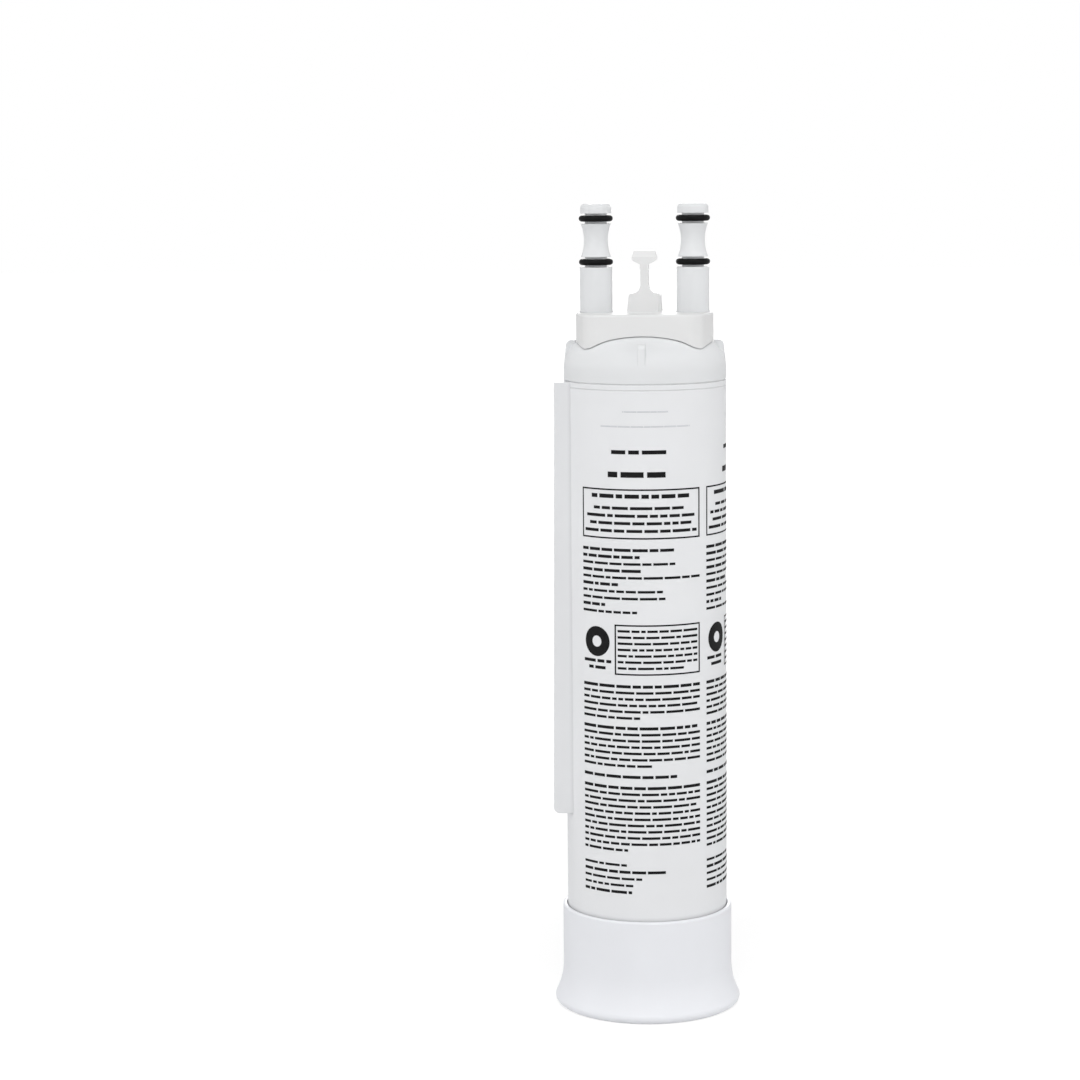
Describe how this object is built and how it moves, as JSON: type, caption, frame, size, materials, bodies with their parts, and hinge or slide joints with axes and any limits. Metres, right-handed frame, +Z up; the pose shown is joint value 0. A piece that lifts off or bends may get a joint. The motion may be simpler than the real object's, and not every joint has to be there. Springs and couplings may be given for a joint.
{
  "type": "fridge water filter cartridge",
  "caption": "White push-in water filter cartridge for a refrigerator: tube with guide rail, flared foot, domed head with sealed spigots and a T-shaped latch key, carbon block inside.",
  "frame": {"origin": "centre of the foot's base, on the surface the cartridge stands on", "axes": "+Z up along the cartridge towards the spigots, -Y towards the front of the latch key, guide rail on the -X side"},
  "size_m": [0.058, 0.058, 0.2494],
  "materials": {
    "tube_white": "satin white moulded plastic",
    "foot_white": "satin white moulded plastic",
    "head_white": "satin white moulded plastic",
    "collar_white": "satin white moulded plastic",
    "print_grey": "matt dark grey ink on the tube",
    "seal_black": "smooth black rubber",
    "inner_white": "plain white moulded plastic",
    "carbon": "matt black pressed carbon",
    "wrap": "white non-woven sleeve"
  },
  "bodies": {
    "root": {"housing_tube": "tube_white", "foot_cap": "foot_white", "head": "head_white", "latch_collar": "collar_white", "inlet_lower_seal": "seal_black", "inlet_upper_seal": "seal_black", "outlet_lower_seal": "seal_black", "outlet_upper_seal": "seal_black", "channel_cover": "inner_white", "upper_end_cap": "inner_white", "lower_end_cap": "inner_white", "nipple_seal_ring": "seal_black", "carbon_block": "carbon", "sediment_wrap": "wrap"}
  },
  "joints": []
}
